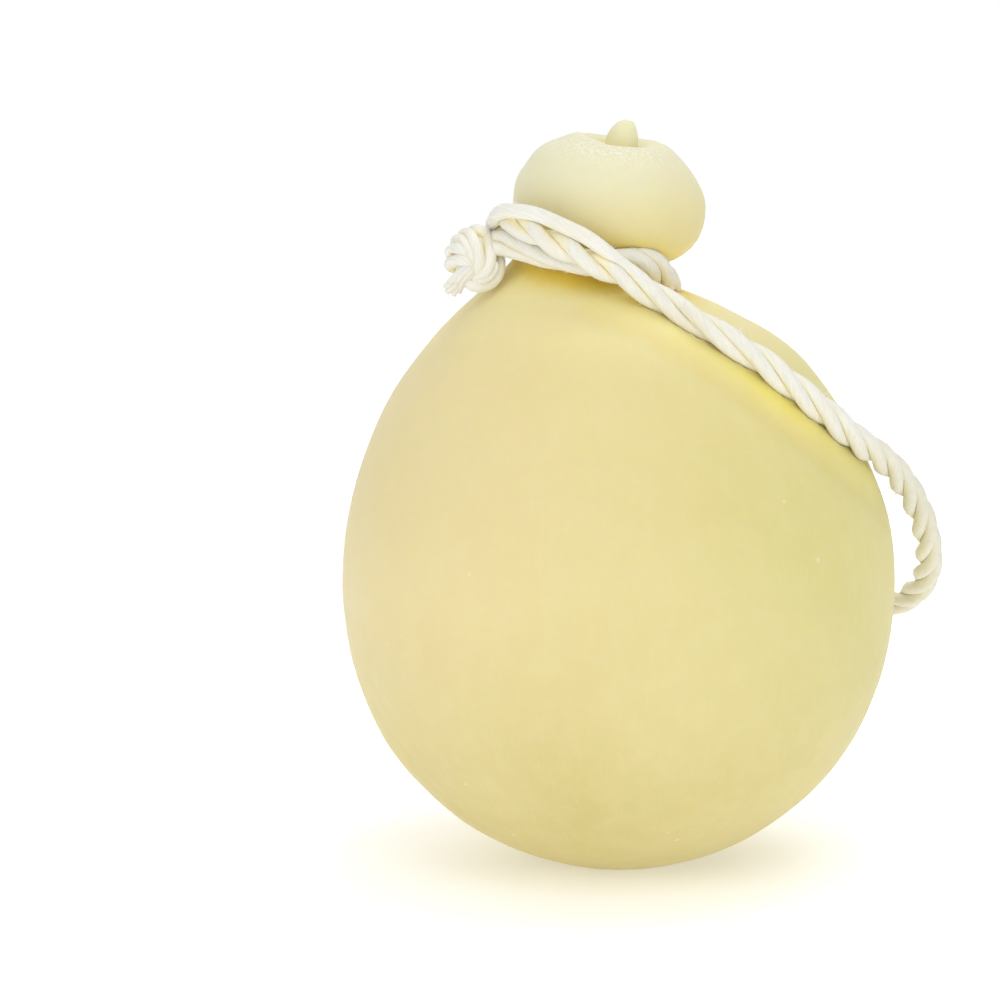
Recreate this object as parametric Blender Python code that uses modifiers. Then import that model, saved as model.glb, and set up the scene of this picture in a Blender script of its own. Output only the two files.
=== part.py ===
"""A ball of stretched-curd cheese with a pinched neck, and the twisted cord tied round it.

Frame: metres, +Z up, origin at the centre of the small flat spot that the ball
stands on. +X is the side over which the cord runs down, -Y is the front.
"""

from math import cos, pi, radians, sin, tau

import bmesh
import bpy
import numpy as np
from mathutils import Vector

MM = 0.001

# ---- Driving dimensions, in millimetres -------------------------------------
BODY_RADIUS = 60.0        # at its widest
WIDEST_HEIGHT = 62.0
FLAT_RADIUS = 11.0        # of the flat spot underneath
NECK_RADIUS = 14.7
NECK_HEIGHT = 132.3
HEAD_RADIUS = 20.7
HEAD_HEIGHT = 143.4       # of its widest ring
CREST_RADIUS = 9.3        # the rim round the dimple
CREST_HEIGHT = 156.8
DIMPLE_HEIGHT = 154.0
NUB_RADIUS = 3.05
NUB_TOP = 161.0

CORD_DIAMETER = 5.6
CORD_GAP = 0.35           # between the cord's tube and the cheese
TURN_RADIUS = 19.3        # of the cord's turn round the neck
TURN_CENTRE = (-6.5, -0.1, 132.8)
TURN_TILT = 12.5          # degrees, right side down
CORD_SPACING = 6.0        # between the tube's points

STOPPER_CENTRE = (-31.0, -9.6, 131.6)
STOPPER_SIZE = (6.1, 6.0, 7.4)       # half axes
LOOP_KNOT_CENTRE = (-6.6, 28.2, 132.8)
LOOP_KNOT_SIZE = (6.4, 5.4, 6.2)

AROUND = 44               # sides of the turned cheese
PER_STATION = 2           # rings between two stations of its outline

# The outline from the flat spot to the top of the nub: (radius, height).
BODY = [
    (0.0, 0.0), (FLAT_RADIUS, 0.0), (13.4, 0.25), (19.0, 1.9), (26.0, 4.75), (35.0, 10.2),
    (43.1, 17.3), (49.8, 25.6), (55.0, 35.9), (58.6, 48.0), (BODY_RADIUS, WIDEST_HEIGHT),
    (58.4, 76.6), (54.0, 89.6), (47.4, 102.1), (37.4, 114.2), (25.0, 123.4), (17.7, 128.1),
]
NECK = [(NECK_RADIUS + 0.3, 130.6), (NECK_RADIUS, NECK_HEIGHT), (15.7, 134.4)]
HEAD = [
    (18.2, 136.2), (20.3, 139.6), (HEAD_RADIUS, HEAD_HEIGHT), (19.8, 147.8), (17.0, 151.9),
    (13.2, 155.1), (CREST_RADIUS, CREST_HEIGHT),
]
NUB = [
    (6.6, 156.1), (4.3, DIMPLE_HEIGHT), (3.1, 154.6), (NUB_RADIUS, 157.4), (2.5, 159.5),
    (1.2, NUB_TOP - 0.2), (0.0, NUB_TOP),
]
# How the ball leans as it rises: height, sideways offset of its axis, and the tilt
# of the cross-section to the right and to the front, in degrees.
LEAN = [
    (0, 0.3, 0, 0), (30, 0.3, 0, 0), (60, 0.0, 0, 0), (80, -0.3, 0, 0), (90, -0.9, 0, 0),
    (100, -1.6, 0, 0), (114, -2.5, 1, 0), (119, -2.9, 3, 0), (124, -3.7, 6, 1),
    (129, -5.9, 11, 2), (132, -6.7, 14, 2), (134.5, -5.9, 14, 3), (137.5, -3.8, 12, 3),
    (141, -2.6, 8.5, 3), (145, -2.2, 7, 3), (150, -2.3, 7, 3), (154.5, -1.4, 7, 3),
    (157, -0.2, 6, 3), (159, 0.9, 6, 3), (164, 1.9, 6, 3),
]


def smooth(knots, x):
    """A smooth curve through knots (x, y0, y1, ...), read at each x."""
    table = np.array(knots, float)
    at, values = table[:, 0], table[:, 1:]
    x = np.atleast_1d(np.asarray(x, float))
    step = np.diff(at)
    rise = np.diff(values, axis=0) / step[:, None]
    slope = np.zeros_like(values)
    slope[0], slope[-1] = rise[0], rise[-1]
    slope[1:-1] = (rise[:-1] * step[1:, None] + rise[1:] * step[:-1, None]) / (
        step[:-1] + step[1:]
    )[:, None]
    i = np.clip(np.searchsorted(at, x, side="right") - 1, 0, len(at) - 2)
    t = np.clip((x - at[i]) / step[i], 0.0, 1.0)[:, None]
    h = step[i][:, None]
    return (
        (2 * t**3 - 3 * t**2 + 1) * values[i]
        + (t**3 - 2 * t**2 + t) * h * slope[i]
        + (-2 * t**3 + 3 * t**2) * values[i + 1]
        + (t**3 - t**2) * h * slope[i + 1]
    )


def outline(per_station):
    """The turned outline, smooth through its stations, as (radius, height) rows."""
    stations = np.array(BODY + NECK + HEAD + NUB)
    along = np.r_[0, np.cumsum(np.sqrt(np.linalg.norm(np.diff(stations, axis=0), axis=1)))]
    reads = [
        a + (b - a) * k / per_station
        for a, b in zip(along[:-1], along[1:])
        for k in range(per_station)
    ] + [along[-1]]
    rows = smooth(np.c_[along, stations], reads)
    rows[:, 1] = np.where(rows[:, 0] <= FLAT_RADIUS + 0.01, np.where(rows[:, 1] < 50, 0.0, rows[:, 1]), rows[:, 1])
    rows[0, 0] = rows[-1, 0] = 0.0
    return np.maximum(rows, 0.0)


def leaned(radius, height, angle):
    """A point of the leaning ball, in millimetres."""
    offset, right, front = smooth(LEAN, height)[0]
    x, y = radius * cos(angle), radius * sin(angle)
    right, front = radians(right), radians(front)
    return np.array([offset + x * cos(right), y * cos(front), height - x * sin(right) + y * sin(front)])


OUTER = None


def radius_at(height):
    """The outline's outer radius at a height below the head's widest ring."""
    global OUTER
    if OUTER is None:
        rows = outline(8)
        OUTER = rows[(rows[:, 1] > 0) & (rows[:, 1] <= HEAD_HEIGHT)]
    return float(np.interp(height, OUTER[:, 1], OUTER[:, 0]))


def above_skin(height, degrees, clearance):
    """A point that stands off the body's skin by the clearance."""
    angle = radians(degrees)
    here = leaned(radius_at(height), height, angle)
    up = leaned(radius_at(height + 0.5), height + 0.5, angle) - leaned(radius_at(height - 0.5), height - 0.5, angle)
    side = leaned(radius_at(height), height, angle + 0.01) - leaned(radius_at(height), height, angle - 0.01)
    normal = np.cross(side, up)
    return here + normal / np.linalg.norm(normal) * clearance


def turn_point(degrees, grow=0.0, lift=0.0):
    """A point of the turn round the neck, in its tilted plane. 0 is the right, -90 the front."""
    a, tilt = radians(degrees), radians(TURN_TILT)
    r = TURN_RADIUS + grow
    cx, cy, cz = TURN_CENTRE
    return np.array([
        cx + r * cos(a) * cos(tilt) + lift * sin(tilt),
        cy + r * sin(a),
        cz - r * cos(a) * sin(tilt) + lift * cos(tilt),
    ])


def cord_route():
    """The cord's centre line: from the stopper knot once round the neck, over the
    turn, down the right shoulder, out in a free bow and back up behind the ball."""
    off = CORD_DIAMETER / 2 + CORD_GAP
    points = [np.array([-24.4, -10.4, 134.4])]
    for degrees, grow, lift in [(-136, 0.4, -1.2), (-118, 0.2, -1.5), (-100, 0.3, -1.3), (-82, 0.4, -0.8),
                                (-64, 0.8, -0.4), (-46, 1.2, -0.3), (-28, 1.2, -0.3), (-10, 0.8, -0.2)]:
        points.append(turn_point(degrees, grow, lift))
    points += [turn_point(degrees, 0.3) for degrees in range(8, 171, 18)]
    # Over the turn: it climbs the groove under the head and passes outside the turn.
    points += [turn_point(187, 0.5, 1.0), turn_point(202, 1.8, 3.2), turn_point(217, 3.4, 4.3),
               turn_point(233, 4.6, 4.0), turn_point(249, 5.5, 2.6), turn_point(265, 6.3, 0.9),
               turn_point(281, 7.0, -1.0)]
    # Down the right shoulder, on the skin.
    for height, degrees in [(122.0, -61.6), (119.0, -56.6), (115.2, -51.0), (110.8, -44.6),
                            (105.4, -38.2), (99.6, -31.0), (94.2, -23.6)]:
        points.append(above_skin(height, degrees, off + 0.1))
    # The free bow at the right, then the hidden bend behind the ball.
    points += [np.array(p, float) for p in [
        (56.7, -11.5, 89.2), (61.0, -4.4, 83.9), (64.6, 2.6, 78.4), (67.3, 9.2, 72.7),
        (69.2, 16.4, 66.9), (70.4, 25.6, 60.7), (70.2, 36.6, 54.4), (67.4, 47.4, 49.2),
        (62.0, 56.6, 46.6), (54.0, 64.0, 46.4), (44.4, 68.8, 49.6), (34.4, 70.6, 56.0),
        (25.0, 69.4, 64.6), (16.6, 66.6, 74.6), (9.4, 62.6, 85.0),
    ]]
    # Up the back to the knot behind the neck, on the skin.
    for height, degrees in [(95.6, 86.2), (104.0, 90.4), (111.4, 93.5), (117.0, 95.4)]:
        points.append(above_skin(height, degrees, off + 0.5))
    points.append(above_skin(120.2, 96.2, off + 1.0))
    return np.array(points)


def even_points(points, spacing):
    """Points about one spacing apart on a smooth curve through the route."""
    chord = np.r_[0, np.cumsum(np.sqrt(np.linalg.norm(np.diff(points, axis=0), axis=1)))]
    fine = smooth(np.c_[chord, points], np.linspace(0, chord[-1], 4000))
    run = np.r_[0, np.cumsum(np.linalg.norm(np.diff(fine, axis=0), axis=1))]
    count = int(round(run[-1] / spacing)) + 1
    at = np.linspace(0, run[-1], count)
    return np.stack([np.interp(at, run, fine[:, k]) for k in range(3)], axis=1), run[-1]


def material(name, colour, roughness):
    made = bpy.data.materials.new(name)
    made.use_nodes = True
    shader = made.node_tree.nodes["Principled BSDF"]
    shader.inputs["Base Color"].default_value = (*colour, 1.0)
    shader.inputs["Roughness"].default_value = roughness
    shader.inputs["Metallic"].default_value = 0.0
    return made


def make_cheese(collection, look):
    """Turns the outline with a Screw modifier, then leans the turned shape."""
    rows = outline(PER_STATION)[::-1]
    mesh = bpy.data.meshes.new("outline")
    bm = bmesh.new()
    verts = [bm.verts.new((r * MM, 0.0, z * MM)) for r, z in rows]
    for a, b in zip(verts[:-1], verts[1:]):
        bm.edges.new((a, b))
    bm.to_mesh(mesh)
    bm.free()
    turned = bpy.data.objects.new("outline", mesh)
    collection.objects.link(turned)
    screw = turned.modifiers.new("turn", "SCREW")
    screw.axis = "Z"
    screw.angle = tau
    screw.steps = screw.render_steps = AROUND
    screw.use_merge_vertices = True
    screw.merge_threshold = 0.00001
    screw.use_smooth_shade = True
    bpy.context.view_layer.update()
    shape = bpy.data.meshes.new_from_object(turned.evaluated_get(bpy.context.evaluated_depsgraph_get()))
    bm = bmesh.new()
    bm.from_mesh(shape)
    bmesh.ops.remove_doubles(bm, verts=bm.verts, dist=0.000002)
    for v in bm.verts:
        r = (v.co.x**2 + v.co.y**2) ** 0.5 / MM
        p = leaned(r, v.co.z / MM, np.arctan2(v.co.y, v.co.x))
        v.co = Vector(p * MM)
    bmesh.ops.recalc_face_normals(bm, faces=bm.faces)
    bm.to_mesh(shape)
    bm.free()
    shape.name = "cheese_ball"
    ball = bpy.data.objects.new("cheese_ball", shape)
    ball.data.shade_smooth()
    ball.data.materials.append(look)
    collection.objects.link(ball)
    bpy.data.objects.remove(turned)
    return ball


def make_cord(collection, look):
    points, length = even_points(cord_route(), CORD_SPACING)
    curve = bpy.data.curves.new("tie_cord", "CURVE")
    curve.dimensions = "3D"
    curve.bevel_depth = CORD_DIAMETER / 2 * MM
    curve.bevel_resolution = 2
    curve.use_fill_caps = True
    spline = curve.splines.new("POLY")
    spline.points.add(len(points) - 1)
    for point, place in zip(spline.points, points):
        point.co = (*(place * MM), 1.0)
    cord = bpy.data.objects.new("tie_cord", curve)
    curve.materials.append(look)
    collection.objects.link(cord)
    print(f"cord: {length:.1f} mm, {len(points)} points")
    return cord


def make_knot(collection, look, name, centre, half, lobes, twist):
    """A tight overhand knot as a lump: an ellipsoid with shallow slanting lobes."""
    bpy.ops.mesh.primitive_uv_sphere_add(segments=20, ring_count=12, radius=1.0, location=(0, 0, 0))
    knot = bpy.context.active_object
    for user in list(knot.users_collection):
        user.objects.unlink(knot)
    collection.objects.link(knot)
    knot.name = knot.data.name = name
    for v in knot.data.vertices:
        angle = np.arctan2(v.co.y, v.co.x)
        swell = 1.0 - 0.05 * (1 - abs(v.co.z)) * (1 - cos(lobes * angle + twist * v.co.z))
        v.co = Vector((v.co.x * half[0] * swell, v.co.y * half[1] * swell, v.co.z * half[2])) * MM
    knot.location = Vector(centre) * MM
    knot.data.shade_smooth()
    knot.data.materials.append(look)
    return knot


def main():
    for old in list(bpy.data.objects):
        bpy.data.objects.remove(old)
    collection = bpy.data.collections.new("ball_of_cheese")
    bpy.context.scene.collection.children.link(collection)
    cheese = material("cheese", (0.80, 0.71, 0.37), 0.42)
    cord = material("cord", (0.86, 0.84, 0.74), 0.85)
    make_cheese(collection, cheese)
    make_cord(collection, cord)
    make_knot(collection, cord, "stopper_knot", STOPPER_CENTRE, STOPPER_SIZE, 5, 1.6)
    make_knot(collection, cord, "loop_knot", LOOP_KNOT_CENTRE, LOOP_KNOT_SIZE, 5, -1.6)


main()
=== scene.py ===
"""The looks of a ball of stretched-curd cheese, tied at the neck with a laid cotton cord.

Everything is in the frame's metres; the tables below are in millimetres. +X is
the side over which the cord runs down, -Y is the front.
"""

from math import cos, pi, radians, sin, tau

import bpy
import numpy as np
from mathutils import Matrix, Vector, noise
from mathutils.kdtree import KDTree


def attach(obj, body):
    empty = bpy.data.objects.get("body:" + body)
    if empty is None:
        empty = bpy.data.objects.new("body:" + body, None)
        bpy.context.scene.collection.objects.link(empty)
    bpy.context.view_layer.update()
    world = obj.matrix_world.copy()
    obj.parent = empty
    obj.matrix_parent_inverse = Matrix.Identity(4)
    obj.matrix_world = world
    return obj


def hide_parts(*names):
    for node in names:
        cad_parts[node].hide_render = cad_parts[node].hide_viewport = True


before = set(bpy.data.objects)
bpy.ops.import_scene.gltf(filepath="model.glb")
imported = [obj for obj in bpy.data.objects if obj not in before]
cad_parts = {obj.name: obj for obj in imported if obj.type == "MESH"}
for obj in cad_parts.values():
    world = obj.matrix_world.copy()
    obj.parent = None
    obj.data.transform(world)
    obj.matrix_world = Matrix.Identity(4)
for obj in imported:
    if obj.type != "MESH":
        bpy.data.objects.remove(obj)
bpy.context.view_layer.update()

MM = 0.001

# ---- The cheese's turned outline and lean, the same as the solid's ------------
BODY_RADIUS = 60.0
WIDEST_HEIGHT = 62.0
FLAT_RADIUS = 11.0
NECK_RADIUS = 14.7
NECK_HEIGHT = 132.3
HEAD_RADIUS = 20.7
HEAD_HEIGHT = 143.4
CREST_RADIUS = 9.3
CREST_HEIGHT = 156.8
DIMPLE_HEIGHT = 154.0
NUB_RADIUS = 3.05
NUB_TOP = 161.0
# Height, left and right edge, and half depth of the nub.
NUB_SIDES = [
    (153.5, -3.7, 4.2, 3.3), (154.6, -3.35, 4.0, 3.0), (156.0, -3.1, 3.95, 2.85), (157.3, -2.85, 3.9, 2.75),
    (158.2, -2.45, 3.75, 2.6), (159.1, -1.9, 3.5, 2.35), (160.0, -1.05, 3.1, 1.9), (160.6, -0.25, 2.6, 1.35),
    (161.0, 1.15, 1.15, 0.0),
]
CORD_DIAMETER = 5.6
CORD_GAP = 0.35
TURN_RADIUS = 19.3
TURN_CENTRE = (-6.5, -0.1, 132.8)
TURN_TILT = 12.5
STOPPER_CENTRE = np.array([-31.0, -9.6, 131.6])
LOOP_KNOT_CENTRE = np.array([-6.6, 28.2, 132.8])
LOOP_KNOT_SIZE = np.array([6.4, 5.4, 6.2])

BODY = [
    (0.0, 0.0), (FLAT_RADIUS, 0.0), (13.4, 0.25), (19.0, 1.9), (26.0, 4.75), (35.0, 10.2),
    (43.1, 17.3), (49.8, 25.6), (55.0, 35.9), (58.6, 48.0), (BODY_RADIUS, WIDEST_HEIGHT),
    (58.4, 76.6), (54.0, 89.6), (47.4, 102.1), (37.4, 114.2), (25.0, 123.4), (17.7, 128.1),
]
NECK = [(NECK_RADIUS + 0.3, 130.6), (NECK_RADIUS, NECK_HEIGHT), (15.7, 134.4)]
HEAD = [
    (18.2, 136.2), (20.3, 139.6), (HEAD_RADIUS, HEAD_HEIGHT), (19.8, 147.8), (17.0, 151.9),
    (13.2, 155.1), (CREST_RADIUS, CREST_HEIGHT),
]
NUB = [
    (6.6, 156.1), (4.3, DIMPLE_HEIGHT), (3.1, 154.6), (NUB_RADIUS, 157.4), (2.5, 159.5),
    (1.2, NUB_TOP - 0.2), (0.0, NUB_TOP),
]
LEAN = [
    (0, 0.3, 0, 0), (30, 0.3, 0, 0), (60, 0.0, 0, 0), (80, -0.3, 0, 0), (90, -0.9, 0, 0),
    (100, -1.6, 0, 0), (114, -2.5, 1, 0), (119, -2.9, 3, 0), (124, -3.7, 6, 1),
    (129, -5.9, 11, 2), (132, -6.7, 14, 2), (134.5, -5.9, 14, 3), (137.5, -3.8, 12, 3),
    (141, -2.6, 8.5, 3), (145, -2.2, 7, 3), (150, -2.3, 7, 3), (154.5, -1.4, 7, 3),
    (157, -0.2, 6, 3), (159, 0.9, 6, 3), (164, 1.9, 6, 3),
]

# ---- Camera -------------------------------------------------------------------
ELEVATION = radians(8.0)
DISTANCE = 0.80
AIM = np.array([-0.0256, 0.0, 0.0790])
LOOK = np.array([0.0, cos(ELEVATION), -sin(ELEVATION)])
UPWARD = np.array([0.0, sin(ELEVATION), cos(ELEVATION)])


def make_camera():
    data = bpy.data.cameras.new("camera")
    data.sensor_width = 36.0
    data.lens = 36.0 * DISTANCE / 0.2166
    data.clip_start = 0.02
    data.clip_end = 50.0
    camera = bpy.data.objects.new("camera", data)
    bpy.context.scene.collection.objects.link(camera)
    camera.location = AIM - LOOK * DISTANCE
    camera.rotation_euler = (pi / 2 - ELEVATION, 0.0, 0.0)
    bpy.context.scene.camera = camera


# ---- Curves and the cheese's skin ----------------------------------------------
def smooth(knots, x):
    """A smooth curve through knots (x, y0, y1, ...), read at each x."""
    table = np.array(knots, float)
    at, values = table[:, 0], table[:, 1:]
    x = np.atleast_1d(np.asarray(x, float))
    step = np.diff(at)
    rise = np.diff(values, axis=0) / step[:, None]
    slope = np.zeros_like(values)
    slope[0], slope[-1] = rise[0], rise[-1]
    slope[1:-1] = (rise[:-1] * step[1:, None] + rise[1:] * step[:-1, None]) / (
        step[:-1] + step[1:]
    )[:, None]
    i = np.clip(np.searchsorted(at, x, side="right") - 1, 0, len(at) - 2)
    t = np.clip((x - at[i]) / step[i], 0.0, 1.0)[:, None]
    h = step[i][:, None]
    return (
        (2 * t**3 - 3 * t**2 + 1) * values[i]
        + (t**3 - 2 * t**2 + t) * h * slope[i]
        + (-2 * t**3 + 3 * t**2) * values[i + 1]
        + (t**3 - t**2) * h * slope[i + 1]
    )


def outline(per_station):
    stations = np.array(BODY + NECK + HEAD + NUB)
    along = np.r_[0, np.cumsum(np.sqrt(np.linalg.norm(np.diff(stations, axis=0), axis=1)))]
    reads = [
        a + (b - a) * k / per_station
        for a, b in zip(along[:-1], along[1:])
        for k in range(per_station)
    ] + [along[-1]]
    rows = smooth(np.c_[along, stations], reads)
    low = (rows[:, 0] <= FLAT_RADIUS + 0.01) & (rows[:, 1] < 50)
    rows[low, 1] = 0.0
    rows[0, 0] = rows[-1, 0] = 0.0
    return np.maximum(rows, 0.0)


def leaned(radius, height, angle):
    """Points of the leaning ball, in millimetres, for arrays of radius, height and angle."""
    radius, height, angle = np.broadcast_arrays(
        np.asarray(radius, float), np.asarray(height, float), np.asarray(angle, float)
    )
    lean = smooth(LEAN, height.ravel()).reshape(height.shape + (3,))
    offset, right, front = lean[..., 0], np.radians(lean[..., 1]), np.radians(lean[..., 2])
    x, y = radius * np.cos(angle), radius * np.sin(angle)
    return np.stack(
        [
            offset + x * np.cos(right),
            y * np.cos(front),
            height - x * np.sin(right) + y * np.sin(front),
        ],
        axis=-1,
    )


_rows = outline(8)
OUTER = _rows[(_rows[:, 1] > 0) & (_rows[:, 1] <= HEAD_HEIGHT)]


def radius_at(height):
    return float(np.interp(height, OUTER[:, 1], OUTER[:, 0]))


def above_skin(height, degrees, clearance):
    """A point that stands off the body's skin by the clearance."""
    angle = radians(degrees)
    here = leaned(radius_at(height), height, angle)
    up = leaned(radius_at(height + 0.5), height + 0.5, angle) - leaned(radius_at(height - 0.5), height - 0.5, angle)
    side = leaned(radius_at(height), height, angle + 0.01) - leaned(radius_at(height), height, angle - 0.01)
    normal = np.cross(side, up)
    return here + normal / np.linalg.norm(normal) * clearance


def turn_point(degrees, grow=0.0, lift=0.0):
    """A point of the turn round the neck, in its tilted plane. 0 is the right, -90 the front."""
    a, tilt = radians(degrees), radians(TURN_TILT)
    r = TURN_RADIUS + grow
    cx, cy, cz = TURN_CENTRE
    return np.array([
        cx + r * cos(a) * cos(tilt) + lift * sin(tilt),
        cy + r * sin(a),
        cz - r * cos(a) * sin(tilt) + lift * cos(tilt),
    ])


def wobble(x, seed):
    """Smooth noise of about -1 to 1, for an array of positions."""
    return np.array([noise.noise(Vector((float(v), seed * 7.31, seed * 3.17))) for v in np.ravel(x)]) * 1.6


# ---- The cord's route: the same as the solid's, pressed a little into the skin --
def cord_route():
    off = CORD_DIAMETER / 2 + CORD_GAP
    press = 0.55
    points = [np.array([-26.8, -10.8, 134.9]), np.array([-24.2, -11.4, 135.3])]
    for degrees, grow, lift in [(-136, 0.4, -1.2), (-118, 0.2, -1.6), (-100, 0.1, -1.4), (-82, 0.0, -0.4),
                                (-64, -0.1, 2.0), (-46, -0.3, 1.2), (-28, -0.8, -1.3), (-10, -1.2, -3.3),
                                (8, -1.0, -3.8), (26, -0.6, -2.8), (44, -0.2, -1.2)]:
        points.append(turn_point(degrees, grow, lift))
    points += [turn_point(degrees, 0.0) for degrees in range(62, 153, 18)] + [turn_point(170, 0.1, -1.3)]
    over = len(points)
    points += [turn_point(187, 0.9, -0.9), turn_point(202, 2.3, 1.9), turn_point(217, 3.5, 3.8),
               turn_point(233, 4.4, 3.8), turn_point(249, 5.1, 2.8), turn_point(265, 5.8, 1.2),
               turn_point(281, 6.4, -0.7)]
    shoulder = len(points)
    for height, degrees in [(122.0, -61.6), (119.0, -56.6), (115.2, -51.0), (110.8, -44.6),
                            (105.4, -38.2), (99.6, -31.0), (94.2, -23.6)]:
        points.append(above_skin(height, degrees, off + 0.1 - press))
    free = len(points)
    points += [np.array(p, float) for p in [
        (56.5, -11.6, 89.1), (61.0, -4.4, 83.9), (64.6, 2.6, 78.4), (67.3, 9.2, 72.7),
        (69.2, 16.4, 66.9), (70.4, 25.6, 60.7), (70.2, 36.6, 54.4), (67.4, 47.4, 49.2),
        (62.0, 56.6, 46.6), (54.0, 64.0, 46.4), (44.4, 68.8, 49.6), (34.4, 70.6, 56.0),
        (25.0, 69.4, 64.6), (16.6, 66.6, 74.6), (9.4, 62.6, 85.0),
    ]]
    back = len(points)
    for height, degrees in [(95.6, 86.2), (104.0, 90.4), (111.4, 93.5), (117.0, 95.4)]:
        points.append(above_skin(height, degrees, off + 0.5 - press))
    points.append(above_skin(120.2, 96.2, off + 0.8 - press))
    points.append(np.array([-6.9, 27.6, 129.6]))
    return np.array(points), over, shoulder, free, back


def along_route(points, spacing):
    """Even points on a smooth curve through the route, their places along it, and
    the places of the route's own points."""
    chord = np.r_[0, np.cumsum(np.sqrt(np.linalg.norm(np.diff(points, axis=0), axis=1)))]
    reads = np.linspace(0, chord[-1], 8000)
    fine = smooth(np.c_[chord, points], reads)
    run = np.r_[0, np.cumsum(np.linalg.norm(np.diff(fine, axis=0), axis=1))]
    count = int(round(run[-1] / spacing)) + 1
    at = np.linspace(0, run[-1], count)
    path = np.stack([np.interp(at, run, fine[:, k]) for k in range(3)], axis=1)
    return path, at, np.interp(chord, reads, run)


def carried_frames(path, start=(0.0, 0.0, 1.0)):
    """Tangents, and the two cross directions carried along without twist."""
    t = np.gradient(path, axis=0)
    t /= np.linalg.norm(t, axis=1)[:, None]
    n = np.zeros_like(t)
    last = np.array(start, float)
    for i in range(len(path)):
        last = last - t[i] * np.dot(last, t[i])
        last = last / np.linalg.norm(last)
        n[i] = last
    return t, n, np.cross(t, n)


def tube_faces(rings, sides, base=0):
    """Quads between the rings, and a fan at each end round a last and a first middle point."""
    a = np.arange(rings - 1)[:, None] * sides
    j = np.arange(sides)[None, :]
    k = (j + 1) % sides
    quads = np.stack([a + j, a + k, a + sides + k, a + sides + j], axis=-1).reshape(-1, 4) + base
    first, last = base + rings * sides, base + rings * sides + 1
    faces = quads.tolist()
    for s in range(sides):
        faces.append([first, base + (s + 1) % sides, base + s])
        e = base + (rings - 1) * sides
        faces.append([last, e + s, e + (s + 1) % sides])
    return faces


class Parts:
    """Gathers closed tubes into one mesh with a fibre attribute and an attribute for painted crevice shade."""

    def __init__(self):
        self.points, self.faces, self.fibre, self.crease, self.count = [], [], [], [], 0

    def add(self, rings, fibre, crease=None):
        """rings: (n, sides, 3) in mm. fibre: (n, sides, 3). The third, (n, sides), is 1 deep between strands and
        marks painted shade there.
        """
        n, sides = rings.shape[:2]
        crease = np.zeros((n, sides)) if crease is None else crease
        ends_c = np.array([crease[0].mean(), crease[-1].mean()])
        self.crease.append(np.concatenate([crease.ravel(), ends_c]))
        ends = np.stack([rings[0].mean(0), rings[-1].mean(0)])
        endf = np.stack([fibre[0].mean(0), fibre[-1].mean(0)])
        self.points.append(np.concatenate([rings.reshape(-1, 3), ends]))
        self.fibre.append(np.concatenate([fibre.reshape(-1, 3), endf]))
        self.faces += tube_faces(n, sides, self.count)
        self.count += n * sides + 2

    def build(self, name, material):
        crease = np.concatenate(self.crease)
        return build_mesh(name, np.concatenate(self.points), self.faces, material,
                          {"fibre": np.concatenate(self.fibre), "crease": np.stack([crease] * 3, axis=-1)})


def build_mesh(name, points, faces, material, attributes):
    mesh = bpy.data.meshes.new(name)
    mesh.from_pydata((points * MM).tolist(), [], faces)
    mesh.update()
    for key, values in attributes.items():
        made = mesh.attributes.new(key, "FLOAT_VECTOR", "POINT")
        made.data.foreach_set("vector", np.ascontiguousarray(values, np.float32).ravel())
    mesh.shade_smooth()
    mesh.materials.append(material)
    piece = bpy.data.objects.new(name, mesh)
    bpy.context.scene.collection.objects.link(piece)
    return piece


def ease(x, a, b):
    t = np.clip((np.asarray(x, float) - a) / (b - a), 0.0, 1.0)
    return t * t * (3 - 2 * t)


def unit2(angle):
    return np.stack([np.cos(angle), np.sin(angle)], axis=-1)


# ---- The laid cord --------------------------------------------------------------
SIDES = 20
PITCH = 30.0
STRAND = 1.52            # radius of a strand
THROW = 1.50             # of a strand's centre from the cord's own


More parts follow.
